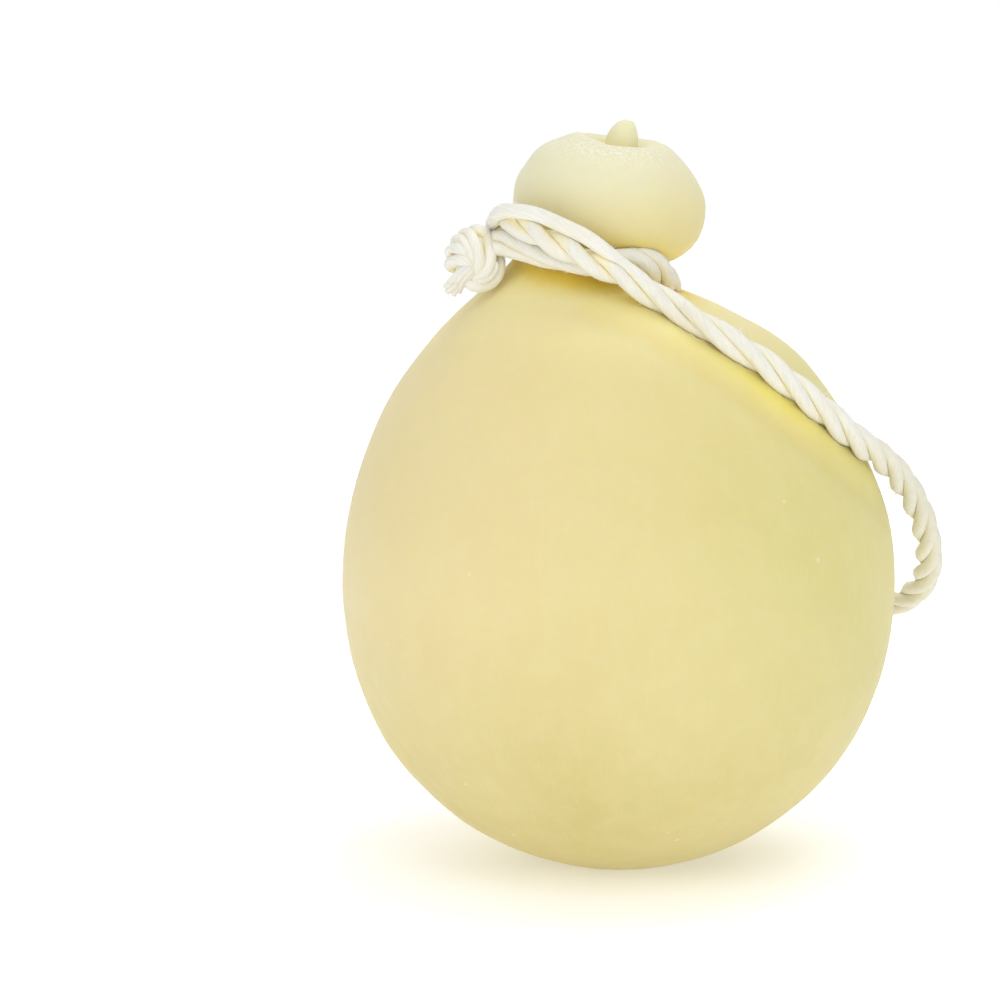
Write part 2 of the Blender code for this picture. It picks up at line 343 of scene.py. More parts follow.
def lay_cord():
    """Three strands laid right-handed, opened into an eye where the cord crosses
    over its own turn, with its turns lengthened where it is pulled at the front."""
    route, over, shoulder, free, back = cord_route()
    path, at, marks = along_route(route, 0.5)
    t, n, b = carried_frames(path)
    rate = tau / PITCH * (1 + 0.10 * wobble(at / 40, 3))
    front = ease(at, marks[1], marks[2]) * (1 - ease(at, marks[5], marks[6]))
    rate = rate * (1 - 0.62 * front)
    rate = rate * (1 - 0.22 * ease(at, marks[shoulder - 2], marks[shoulder - 1]) * (1 - ease(at, marks[shoulder + 1], marks[shoulder + 4])))
    twist = np.r_[0, np.cumsum((rate[1:] + rate[:-1]) / 2 * np.diff(at))]

    # In the eye, strand A stands up off the other two, which stay twisted as a pair.
    s1, s2 = marks[over + 0] + 6.0, marks[shoulder - 1] + 3.0
    outward = path - np.array(TURN_CENTRE)
    outward[:, 2] = 0.0
    outward /= np.linalg.norm(outward, axis=1)[:, None]
    up = np.array([-0.10, -0.16, 1.0]) + outward * (1.7 * (1 - ease(at, s1 + 1.0, s1 + 17.0)))[:, None]
    up_angle = np.unwrap(np.arctan2((b * up).sum(1), (n * up).sum(1)))
    i1, i2 = np.searchsorted(at, s1), np.searchsorted(at, s2)
    angle_a = np.where(at < s1, up_angle[i1] + twist - twist[i1],
                       np.where(at > s2, up_angle[i2] + twist - twist[i2], up_angle))
    opened = ease(at, s1, s1 + 9.0) * (1 - ease(at, s2 - 13.0, s2))
    inside = np.clip((at - s1) / (s2 - s1), 0, 1)
    pair = angle_a + pi / 2 + pi * EYE_HALF_TURNS * (inside + 0.0 * opened)
    throw = THROW * (1 + 0.03 * wobble(at / 17, 5))
    far_a = throw * (1 - opened) + (3.1 + 0.5 * inside) * opened
    far_pair = throw / 2 * (1 - opened) + 0.95 * opened
    half = throw * 0.866 * (1 - opened) + 1.30 * opened
    centre_a = unit2(angle_a) * far_a[:, None]
    centre_pair = -unit2(angle_a) * far_pair[:, None]
    centres = [
        centre_a,
        centre_pair + unit2(pair) * half[:, None],
        centre_pair - unit2(pair) * half[:, None],
    ]
    leads = [angle_a, pair, pair + pi]
    parts = Parts()
    middles = []
    theta = np.linspace(0, tau, SIDES, endpoint=False)
    for k in range(3):
        c = centres[k]
        radius = STRAND * (1 + 0.035 * wobble(at / 9 + 31 * k, k + 1)) * (1 + 0.05 * opened)
        drift = np.gradient(c, at, axis=0)
        speed = np.linalg.norm(drift, axis=1)
        u = drift / np.maximum(speed, 1e-6)[:, None]
        stretch = np.sqrt(1 + speed**2)
        v = unit2(theta[None, :] + leads[k][:, None]) * radius[:, None, None]
        v = v + u[:, None, :] * (v * u[:, None, :]).sum(-1, keepdims=True) * (stretch - 1)[:, None, None]
        q = c[:, None, :] + v
        for _ in range(2):
            for j in range(3):
                if j == k:
                    continue
                m = c - centres[j]
                m = m / np.linalg.norm(m, axis=1)[:, None]
                mid = (c + centres[j]) / 2
                short = 0.015 - ((q - mid[:, None, :]) * m[:, None, :]).sum(-1)
                q = q + m[:, None, :] * np.maximum(short, 0)[..., None]
        rings = path[:, None, :] + q[..., :1] * n[:, None, :] + q[..., 1:] * b[:, None, :]
        turn = theta[None, :] - at[:, None] * tau / 30.0
        fibre = np.stack([np.broadcast_to(at[:, None] + 61.0 * k, turn.shape),
                          np.cos(turn) * 1.5, np.sin(turn) * 1.5], axis=-1)
        # Painted shade on each strand's inner side, near the cord's middle.
        parts.add(rings, fibre, 1 - ease(np.linalg.norm(q, axis=-1), 1.35, 2.5))
        middles.append(path + c[:, :1] * n + c[:, 1:] * b)
    marks = {"over": marks[over], "shoulder": marks[shoulder], "free": marks[free], "back": marks[back]}
    return parts, path, at, np.array(middles), marks


EYE_HALF_TURNS = 4


def tube(parts, points, radius, sides=16, seed=0, about=None, spacing=0.35, taper=(1.0, 1.0)):
    """A soft strand along a smooth curve through the points, in mm."""
    points = np.array(points, float)
    path, at, _ = along_route(points, spacing)
    t, n, b = carried_frames(path, start=(0.31, 0.17, 0.93))
    theta = np.linspace(0, tau, sides, endpoint=False)
    r = radius * (1 + 0.05 * wobble(at / 3.5 + 13 * seed, seed + 2))
    x = at / at[-1]
    r = r * (taper[0] + (1 - taper[0]) * ease(x, 0, 0.25)) * (taper[1] + (1 - taper[1]) * ease(1 - x, 0, 0.25))
    v = unit2(theta)[None] * r[:, None, None]
    rings = path[:, None, :] + v[..., :1] * n[:, None, :] + v[..., 1:] * b[:, None, :]
    turn = theta[None, :] - at[:, None] * tau / 26.0
    fibre = np.stack([np.broadcast_to(at[:, None] + 23.0 * seed, turn.shape),
                      np.cos(turn) * radius, np.sin(turn) * radius], axis=-1)
    crease = None
    # Painted shade on the parts of a strand that lie deep in a knot.
    if about is not None:
        crease = 1 - ease(np.linalg.norm((rings - about[0]) / about[1], axis=-1), 0.80, 1.0)
    parts.add(rings, fibre, crease)
    return path


# ---- Knots -----------------------------------------------------------------------
def view_place(centre, rows):
    """Rows of (right, up, towards the front) about a centre, as points."""
    rows = np.array(rows, float)
    return centre + rows[:, :1] * np.array([1.0, 0, 0]) + rows[:, 1:2] * UPWARD - rows[:, 2:3] * LOOK


def lump(parts, centre, half, seed):
    """A closed, slightly uneven core that fills the middle of a knot."""
    rows, sides = 18, 24
    rings = []
    for i in range(1, rows):
        lat = -pi / 2 + pi * i / rows
        ring = []
        for j in range(sides):
            lon = tau * j / sides
            p = np.array([cos(lat) * cos(lon), cos(lat) * sin(lon), sin(lat)])
            swell = 1 + 0.06 * noise.noise(Vector(p * 2.1) + Vector((seed, 0, 0)))
            ring.append(centre + p * half * swell)
        rings.append(ring)
    rings = np.array(rings)
    fibre = (rings - centre) * 0.6 + seed * 9
    parts.add(rings, fibre)


KNOT_SHELL = np.array([4.75, 5.95, 4.7])   # right, up, front: where the strands' middles lie


def on_shell(rows, lift=0.0):
    """(right, up, side) rows to (right, up, front), on the knot's shell. side is +1 at the
    front, -1 at the back, and a number between them leans towards the rim."""
    out = []
    for row in rows:
        a, b, side = row[:3]
        extra = row[3] if len(row) > 3 else 0.0
        r = ((a / KNOT_SHELL[0]) ** 2 + (b / KNOT_SHELL[1]) ** 2) ** 0.5
        c = KNOT_SHELL[2] * max(0.0, 1 - min(r, 1.0) ** 2) ** 0.5 * side
        out.append((a, b, c + extra + lift))
    return out


def make_stopper(material):
    parts = Parts()
    c = STOPPER_CENTRE
    about = (c, np.array([6.1, 6.0, 7.3]))
    lump(parts, c, np.array([4.3, 4.2, 5.4]), 4)
    front = [
        # the outer strand, over the top and down the right of the front
        ([(-1.6, 4.6, -1), (-0.3, 6.3, 0, -0.6), (1.1, 6.35, 0.4, 0.6), (2.5, 5.0, 1, -0.1), (3.15, 2.6, 1, 0.1), (3.2, 0.0, 1, 0.3),
          (2.7, -1.9, 1, 0.3), (1.5, -3.3, 1, 0.0), (0.0, -4.0, 1, -0.8), (-1.0, -4.2, 1, -2.2)], 1.42),
        # the strand beside it
        ([(-2.8, 3.4, -1), (-2.4, 5.6, 0, -0.6), (-1.5, 5.75, 0.7, 0.3), (-0.3, 4.1, 1, 0.1), (0.65, 1.8, 1, 0.25), (0.95, -0.7, 1, 0.2),
          (0.5, -2.6, 1, -0.6), (0.0, -3.8, 1, -2.0)], 1.30),
        # the third, tucked in at the middle
        ([(-4.4, 2.6, -1, 0.5), (-4.0, 4.4, 0, 0.2), (-2.95, 4.35, 1, 0.1), (-1.8, 2.9, 1, 0.0), (-0.75, 0.9, 1, -0.1), (-0.3, -1.2, 1, -0.6),
          (-0.1, -2.6, 1, -1.8)], 1.18),
        # two short turns that come round from the left
        ([(-3.6, 0.9, -1), (-5.1, 1.7, 0, 0.0), (-4.6, 2.35, 0.8, 0.6), (-3.1, 2.2, 1, 0.3), (-1.8, 1.1, 1, -0.2), (-0.9, -0.2, 1, -1.3)], 1.32),
        ([(-3.4, -1.9, -1), (-5.2, -0.9, 0, 0.0), (-4.6, -0.4, 0.8, 0.6), (-2.8, -0.1, 1, 0.45), (-1.2, -0.8, 1, 0.1), (0.0, -1.9, 1, -1.2)], 1.32),
        # the loop that goes round the lower right
        ([(2.2, 2.6, -1), (4.3, 1.9, -0.4), (5.1, 0.4, 0.1), (5.15, -1.6, 0.6, 0.8), (4.55, -3.5, 0.9, 1.2), (3.1, -4.9, 1, 1.5),
          (1.2, -5.55, 1, 1.3), (-0.6, -5.3, 1, 0.9), (-1.8, -4.2, 1, 0.2), (-2.0, -3.0, 1, -1.2)], 1.38),
        ([(2.9, -1.2, 1, -0.4), (4.1, -0.9, 1, 0.9), (4.0, -2.3, 1, 1.2), (2.9, -3.6, 1, 0.9), (1.2, -4.3, 1, 0.5), (-0.2, -4.0, 1, -0.8)], 1.05),
    ]
    for i, (rows, radius) in enumerate(front):
        tube(parts, view_place(c, on_shell(rows)), radius, seed=i, about=about, taper=(0.8, 0.75))
    # round the back
    for i, (rows, radius) in enumerate([
        ([(-0.3, 6.0, 0, -0.5), (-1.7, 4.6, -1), (-2.6, 2.4, -1), (-2.7, 0.0, -1), (-1.9, -2.6, -1), (-0.4, -4.7, -1, 0.2), (0.9, -5.5, 0.2)], 1.42),
        ([(0.9, 6.0, 0, 0), (0.6, 5.0, -1), (0.0, 2.6, -1, -0.2), (0.0, 0.0, -1, -0.2), (0.6, -2.4, -1, -0.1), (1.8, -4.3, -1), (2.6, -4.9, 0.2)], 1.42),
        ([(2.5, 5.0, 0.3), (2.9, 3.8, -1), (2.6, 1.6, -1, -0.1), (2.7, -0.6, -1, -0.2), (3.3, -2.3, -1), (3.9, -3.0, 0.2)], 1.35),
        ([(-3.6, 0.9, -1), (-2.2, 0.2, -1, -1.0), (-0.3, -0.2, -1, -1.5), (1.6, 0.4, -1, -1.3), (3.3, 1.6, -1, -0.4), (4.4, 1.9, 0)], 1.30),
        ([(-3.4, -1.9, -1), (-2.2, -2.5, -1, -0.8), (-0.4, -2.9, -1, -1.2), (1.4, -2.4, -1, -1.2), (3.2, -1.2, -1, -0.5), (4.5, -0.4, 0)], 1.30),
    ]):
        tube(parts, view_place(c, on_shell(rows)), radius, seed=20 + i, about=about, taper=(0.85, 0.85))
    # the short cut end, opened into yarns
    root = [(-0.1, -1.9, 3.4), (-1.5, -2.7, 4.3), (-2.9, -3.9, 4.2)]
    for i in range(8):
        a = tau * i / 7 + 0.3
        spread = 1.30 if i else 0.0
        da, db = spread * cos(a), spread * sin(a)
        longer = 0.6 * noise.noise(Vector((i * 3.7, 1.2, 0.4)))
        tip = (-4.6 + da * 1.25, -6.1 + db * 0.9 - longer, 3.0 + db * 1.0)
        middle = (-3.8 + da * 0.9, -5.0 + db * 0.7, 3.8 + db * 0.8)
        rows = [(root[0][0] + da * 0.5, root[0][1] + db * 0.5, root[0][2]),
                (root[1][0] + da * 0.6, root[1][1] + db * 0.6, root[1][2] + db * 0.3),
                (root[2][0] + da * 0.7, root[2][1] + db * 0.6, root[2][2] + db * 0.5), middle, tip]
        tube(parts, view_place(c, rows), 0.86, sides=12, seed=40 + i, spacing=0.3, taper=(0.9, 0.7))
    for i, (da, db) in enumerate([(1.5, -0.2), (1.15, -0.55), (0.3, -0.9)]):
        rows = [(-2.9 + da * 0.2, -4.4, 4.0), (-3.7 + da * 0.6, -5.7, 3.6), (-4.1 + da, -6.6 + db * 0.5, 3.0)]
        tube(parts, view_place(c, rows), 0.22, sides=8, seed=60 + i, spacing=0.3, taper=(1.0, 0.4))
    return parts.build("stopper_knot_fine", material)


def make_loop_knot(material):
    """The second knot: two turns of the cord gripping the turn round the neck."""
    parts = Parts()
    c = LOOP_KNOT_CENTRE
    half = LOOP_KNOT_SIZE - 1.45
    lump(parts, c, half - 0.1, 8)

    def band(normal, offset, start, sweep, radius, seed, lift=0.0):
        normal = np.array(normal, float) / np.linalg.norm(normal)
        u = np.cross(normal, (0.2, 0.3, 1.0))
        u /= np.linalg.norm(u)
        v = np.cross(normal, u)
        ring = (1 - offset**2) ** 0.5
        rows = []
        for k in range(13):
            a = radians(start + sweep * k / 12)
            dip = 1.0 - 0.34 * (max(0.0, 1 - k / 1.5) + max(0.0, (k - 10.5) / 1.5))
            p = (normal * offset + (u * cos(a) + v * sin(a)) * ring) * (half + lift) * dip
            rows.append(c + p)
        tube(parts, rows, radius, seed=seed, about=(c, LOOP_KNOT_SIZE), taper=(0.85, 0.85))

    for k, offset in enumerate((-0.62, -0.22, 0.2, 0.6)):
        band((0.85, 0.15, 0.45), offset, 0, 345, 1.42, 80 + k)
    for k, offset in enumerate((-0.30, 0.12, 0.50)):
        band((-0.5, 0.25, 0.8), offset, 150 + 6 * k, 215, 1.28, 90 + k, lift=0.75)
    return parts.build("loop_knot_fine", material)


def make_fuzz(path, middles, marks, at, material):
    """Loose fibres that stand off the cord."""
    parts = Parts()
    t, n, b = carried_frames(path)
    count = 1300
    for i in range(count):
        x = (i * 0.6180339887) % 1.0
        s = 4 + x * (at[-1] - 10)
        j = int(np.searchsorted(at, s))
        j = min(max(j, 2), len(at) - 3)
        h = [noise.noise(Vector((i * 1.37, k * 5.1, 0.7))) for k in range(5)]
        a = tau * ((i * 0.7548776662) % 1.0)
        out = n[j] * cos(a) + b[j] * sin(a)
        side = np.cross(t[j], out)
        k = int(np.argmax([(middles[m][j] - path[j]) @ out for m in range(3)]))
        foot = middles[k][j] + out * (STRAND - 0.25)
        long = 0.7 + 1.3 * abs(h[0]) + 0.5 * h[1]
        lean = 1.6 * h[2]
        bend = 1.4 * h[3]
        rows = [foot,
                foot + out * (0.25 + 0.25 * long) + t[j] * lean * 0.3,
                foot + out * (0.25 + 0.42 * long) + t[j] * lean * 0.8 + side * bend * 0.4,
                foot + out * (0.25 + 0.5 * long) + t[j] * lean * 1.3 + side * bend * 1.0]
        rows = np.array(rows)
        far = np.linalg.norm(rows - middles[k][j], axis=1).max()
        if far > 3.4:
            continue
        thin_tube(parts, rows, 0.060 + 0.014 * h[4], i)
    # A few longer loose hairs above the shoulder and under the turn.
    for x, rise, run, sway in ((0.225, 2.4, 3.0, 0.8), (0.235, 2.0, -1.6, -0.4), (0.20, 1.7, 1.8, 0.9), (0.56, 1.9, 2.2, -0.8)):
        s = marks["shoulder"] * (1 - x) + marks["free"] * x if x > 0.21 else marks["over"] * 0.22
        j = int(np.searchsorted(at, s))
        out = np.array([0.25, -0.55, 0.80]) if x > 0.21 else np.array([0.0, -0.6, -0.8])
        out = out - t[j] * (out @ t[j])
        out /= np.linalg.norm(out)
        side = np.cross(t[j], out)
        k = int(np.argmax([(middles[m][j] - path[j]) @ out for m in range(3)]))
        foot = middles[k][j] + out * (STRAND - 0.3)
        rows = [foot, foot + out * rise * 0.6 + t[j] * run * 0.15, foot + out * rise * 1.05 + t[j] * run * 0.45 + side * sway * 0.3,
                foot + out * rise * 0.95 + t[j] * run * 0.8 + side * sway * 0.7, foot + out * rise * 0.6 + t[j] * run + side * sway]
        thin_tube(parts, rows, 0.055, 77)
    return parts.build("cord_fuzz", material)


def thin_tube(parts, points, radius, seed):
    points = np.array(points, float)
    path, at, _ = along_route(points, max(0.25, 0.2))
    if len(path) < 4:
        return
    t, n, b = carried_frames(path, start=(0.31, 0.17, 0.93))
    theta = np.linspace(0, tau, 4, endpoint=False)
    r = radius * (1 - 0.6 * at / at[-1])
    v = unit2(theta)[None] * r[:, None, None]
    rings = path[:, None, :] + v[..., :1] * n[:, None, :] + v[..., 1:] * b[:, None, :]
    fibre = np.stack([np.broadcast_to(at[:, None] + seed, (len(at), 4)),
                      np.zeros((len(at), 4)), np.zeros((len(at), 4))], axis=-1)
    parts.add(rings, fibre)


# ---- The cheese -------------------------------------------------------------------
AROUND = 320


def nearest(tree, points):
    found = [tree.find(p) for p in points]
    return np.array([f[2] for f in found]), np.array([f[1] for f in found])


def make_tree(points):
    tree = KDTree(len(points))
    for i, p in enumerate(points):
        tree.insert(p, i)
    tree.balance()
    return tree


def fractal(points, scale, seed, octaves=2):
    """Smooth noise in about -1..1 at points in mm, one value each."""
    total = np.zeros(len(points))
    size = 1.0
    for o in range(octaves):
        f = 2.0**o / scale
        total += size * np.array([
            noise.noise((x * f + seed * 3.3, y * f - seed * 1.7, z * f + seed)) for x, y, z in points
        ])
        size *= 0.5
    return total * 1.5


def grid_normals(grid):
    """Outward normals of a (rings, around, 3) grid that closes round."""
    side = np.roll(grid, -1, axis=1) - np.roll(grid, 1, axis=1)
    up = np.gradient(grid, axis=0)
    normal = np.cross(side, up)
    return normal / np.maximum(np.linalg.norm(normal, axis=-1, keepdims=True), 1e-9)


def make_cheese(path, middles, at, marks, material):
    rows = outline(8)
    angles = np.linspace(0, tau, AROUND, endpoint=False)
    inner = rows[1:-1]
    grid = leaned(inner[:, 0][:, None], inner[:, 1][:, None], angles[None, :])
    height = np.broadcast_to(inner[:, 1][:, None], grid.shape[:2])
    radius = np.broadcast_to(inner[:, 0][:, None], grid.shape[:2])
    run = np.cumsum(np.r_[0, np.linalg.norm(np.diff(inner, axis=0), axis=1)])
    along = np.broadcast_to(run[:, None], grid.shape[:2])
    around = np.broadcast_to(angles[None, :], grid.shape[:2])
    is_top = np.arange(len(inner))[:, None] >= int(np.argmax(inner[:, 1] > CREST_HEIGHT - 0.3))
    is_top = np.broadcast_to(is_top, grid.shape[:2])
    normal = grid_normals(grid)
    flat = grid.reshape(-1, 3)

    # Soft unevenness of a hand-formed ball.
    lumps = fractal(flat, 42.0, 1).reshape(height.shape) * 0.30
    small = fractal(flat, 11.0, 2, 2).reshape(height.shape) * 0.06
    away = ease(height, 0.3, 9.0) * (1 - 0.5 * ease(height, 150, 155))
    push = (lumps + small) * away
    # Gathers at the neck, where the curd was drawn together and tied.
    gather = np.exp(-(((height - 131.6) / 5.0) ** 2))
    folds = np.cos(17 * around + 2.2 * np.sin(3 * around + 0.7)) * 0.5 + 0.5 * np.cos(11 * around + 1.9)
    push = push + gather * folds * 0.22
    # The near lip of the dimple rolls in as a soft fold.
    lip = np.exp(-(((radius - 8.2) / 2.6) ** 2)) * ease(height, 152.5, 155.5)
    facing = lambda deg, width: np.exp(-((((around - radians(deg) + pi) % tau) - pi) / radians(width)) ** 2)
    push = push + lip * (0.75 * facing(190, 42) - 0.75 * facing(275, 40) - 0.20 * facing(330, 40) + 0.15 * facing(60, 40))
    push = push + lip * 0.10 * np.cos(9 * around + 1.3 * np.sin(2 * around))
    # The head slopes off more on its upper left than on its right.
    crown = np.exp(-(((height - 152.6) / 3.6) ** 2)) * ease(radius, 8.0, 13.0)
    push = push + crown * (0.30 * facing(5, 45) + 0.15 * facing(180, 52))
    push = push + 0.45 * np.exp(-(((height - 148.5) / 4.6) ** 2)) * facing(355, 50)
    push = push - 0.75 * np.exp(-(((height - 149.6) / 3.0) ** 2)) * facing(180, 52)
    # The skin pressed in along the cord, with a soft swell beside it.
    tree = make_tree(path)
    distance, which = nearest(tree, flat)
    distance, which = distance.reshape(height.shape), which.reshape(height.shape)
    place = at[which]
    on_leg = ease(place, marks["over"] + 20, marks["shoulder"]) * (1 - ease(place, marks["free"] - 6, marks["free"] + 8))
    below = (grid - path[which])[..., 2] < 0
    on_back = ease(place, marks["back"] - 4, marks["back"] + 6)
    press = np.exp(-((distance - 2.9) / 4.6) ** 2)
    swell = np.exp(-((distance - 10.5) / 4.2) ** 2)
    roll = 0.70 * np.exp(-((distance - 5.6) / 3.6) ** 2) - 0.72 * np.exp(-((distance - 11.4) / 2.5) ** 2)
    push = push + on_leg * np.where(below, roll, 0.0) + on_back * (-0.3 * press + 0.2 * swell)
    grid = grid + normal * push[..., None]

    # The nub: a little egg, upright on its right side and sloping on its left.
    egg = smooth(NUB_SIDES, np.clip(height, 153.5, NUB_TOP).ravel()).reshape(height.shape + (3,))
    middle, wide_x, wide_y = (egg[..., 0] + egg[..., 1]) / 2, (egg[..., 1] - egg[..., 0]) / 2, egg[..., 2]
    shape = np.stack([middle + wide_x * np.cos(around), wide_y * np.sin(around) - 0.3, height + 0.1], axis=-1)
    on_nub = np.where(is_top, ease(4.5 - radius, 0.0, 1.3), 0.0)[..., None]
    grid = grid * (1 - on_nub) + shape * on_nub

    # Kept clear of every strand of the cord.
    strands = make_tree(middles.reshape(-1, 3))
    near = np.argwhere((distance < 9.0))
    clear = STRAND + 0.07
    for _ in range(3):
        for i, j in near:
            p = grid[i, j]
            q, _, d = strands.find(p)
            if d < clear:
                v = p - np.array(q)
                inward = -normal[i, j]
                step = clear - d
                v = v / max(d, 1e-6)
                v = v + inward * max(0.0, 0.6 - v @ inward)
                grid[i, j] = p + v / np.linalg.norm(v) * step
    grid[..., 2] = np.maximum(grid[..., 2], 0.0)
    base = radius <= FLAT_RADIUS + 0.05
    grid[..., 2] = np.where(base & (height < 1.0), 0.0, grid[..., 2])

    bottom = leaned(0.0, 0.0, 0.0)
    summit = grid[-1].mean(axis=0) + np.array([0, 0, 0.02])
    rings = grid.shape[0]
    points = np.concatenate([grid.reshape(-1, 3), bottom[None], summit[None]])
    faces = tube_faces(rings, AROUND)

    # Where the colour changes: x painted amber shade in the creases at the neck, in the dimple and along the fold
    # under the leg; y powder at the lip; z a painted yellow glow in a band under the cord's leg.
    final = grid.reshape(-1, 3)
    distance, which = nearest(tree, final)
    distance = distance.reshape(height.shape)
    # Painted shade: deeper amber at the neck, under the turn and close to the cord.
    neck = np.exp(-(((height - 129.6) / 5.0) ** 2)) * (1.25 - 0.25 * ease(height, 128.0, 134.0)) + 0.34 * np.exp(-(((height - 137.5) / 4.0) ** 2))
    amber_shade = np.clip(np.exp(-np.maximum(distance - 3.0, 0) / 2.2) * (0.10 + 0.6 * neck) + 0.56 * neck, 0, 1)
    # Painted shade in the dimple round the nub.
    hollow = np.where(is_top & (height < 156.4) & (radius > NUB_RADIUS - 0.2), 1.0, 0.0) * np.exp(-((radius - 4.8) / 2.0) ** 2)
    amber_shade = np.clip(amber_shade + 0.45 * hollow, 0, 1)
    powder = np.exp(-((radius - 11.4) / 4.2) ** 2) * ease(height, 149.5, 154.0) * (0.25 + 0.75 * facing(252, 62))
    midway = marks["shoulder"] * 0.55 + marks["free"] * 0.45
    # Painted glow: a bright yellow band just under the cord's leg, as of light through the curd.
    band = on_leg * np.exp(-((distance - 4.8) / 3.2) ** 2) * np.where(below, 1.0, 0.25) * (0.35 + 0.65 * np.exp(-((place - midway) / 13.0) ** 2))
    # Painted shade along the fold below the swell under the leg.
    amber_shade = np.clip(amber_shade + on_leg * np.where(below, 0.28, 0.0) * np.exp(-((distance - 10.8) / 3.3) ** 2), 0, 1)
    shade_glow_powder = np.stack([amber_shade, powder, band], axis=-1).reshape(-1, 3)
    shade_glow_powder = np.concatenate([shade_glow_powder, [[0, 0, 0], [0, 0, 0]]])
    drawn = np.stack([np.cos(around), np.sin(around), along / 60.0], axis=-1).reshape(-1, 3)
    drawn = np.concatenate([drawn, [[0, 0, 0], [0, 0, run[-1] / 60.0]]])
    return build_mesh("cheese_fine", points, faces, material, {"shade_glow_powder": shade_glow_powder, "drawn": drawn})


# ---- Materials ----------------------------------------------------------------------
def linear(r, g, b):
    """A display colour of 0-255 as the shader's linear colour."""
    out = []
    for v in (r, g, b):
        v = v / 255
        out.append(v / 12.92 if v <= 0.04045 else ((v + 0.055) / 1.055) ** 2.4)
    return (*out, 1.0)


class Nodes:
    def __init__(self, name):
        self.material = bpy.data.materials.new(name)
        self.material.use_nodes = True
        self.tree = self.material.node_tree
        self.shader = self.tree.nodes["Principled BSDF"]

    def add(self, kind, **settings):
        node = self.tree.nodes.new(kind)
        for key, value in settings.items():
            setattr(node, key, value)
        return node

    def link(self, a, b):
        self.tree.links.new(a, b)

    def attribute(self, name):
        return self.add("ShaderNodeAttribute", attribute_name=name, attribute_type="GEOMETRY").outputs["Vector"]

    def scaled(self, vector, scale, offset=(0, 0, 0)):
        node = self.add("ShaderNodeMapping")
        self.link(vector, node.inputs["Vector"])
        node.inputs["Scale"].default_value = scale
        node.inputs["Location"].default_value = offset
        return node.outputs["Vector"]

    def noise(self, vector, scale, detail=3.0, rough=0.5, distort=0.0):
        node = self.add("ShaderNodeTexNoise")
        self.link(vector, node.inputs["Vector"])
        node.inputs["Scale"].default_value = scale
        node.inputs["Detail"].default_value = detail
        node.inputs["Roughness"].default_value = rough
        node.inputs["Distortion"].default_value = distort
        return node.outputs["Fac"]

    def range(self, value, a, b, low=0.0, high=1.0, kind="SMOOTHSTEP"):
        node = self.add("ShaderNodeMapRange", interpolation_type=kind)
        self.link(value, node.inputs["Value"])
        node.inputs["From Min"].default_value = a
        node.inputs["From Max"].default_value = b
        node.inputs["To Min"].default_value = low
        node.inputs["To Max"].default_value = high
        return node.outputs["Result"]

    def math(self, kind, a, b):
        node = self.add("ShaderNodeMath", operation=kind)
        for socket, value in zip(node.inputs, (a, b)):
            if isinstance(value, (int, float)):
                socket.default_value = value
            else:
                self.link(value, socket)
        return node.outputs[0]

    def mix(self, factor, a, b):
        node = self.add("ShaderNodeMix", data_type="RGBA")
        fac, first, second = node.inputs[0], node.inputs[6], node.inputs[7]
        if isinstance(factor, (int, float)):
            fac.default_value = factor
        else:
            self.link(factor, fac)
        for socket, value in ((first, a), (second, b)):
            if isinstance(value, tuple):
                socket.default_value = value
            else:
                self.link(value, socket)
        return node.outputs[2]

    def split(self, vector):
        node = self.add("ShaderNodeSeparateXYZ")
        self.link(vector, node.inputs[0])
        return node.outputs

    def bump(self, height, strength, distance, normal=None):
        node = self.add("ShaderNodeBump")
        self.link(height, node.inputs["Height"])
        node.inputs["Strength"].default_value = strength
        node.inputs["Distance"].default_value = distance
        if normal is not None:
            self.link(normal, node.inputs["Normal"])
        return node.outputs["Normal"]

    def set(self, **values):
        for key, value in values.items():
            self.shader.inputs[key.replace("_", " ")].default_value = value


# LOW_SHADE is a painted shade for the bottom of the ball.
ROSE, GREEN, LOW_SHADE, PALE = (237, 221, 167), (224, 216, 147), (208, 195, 130), (234, 232, 200)


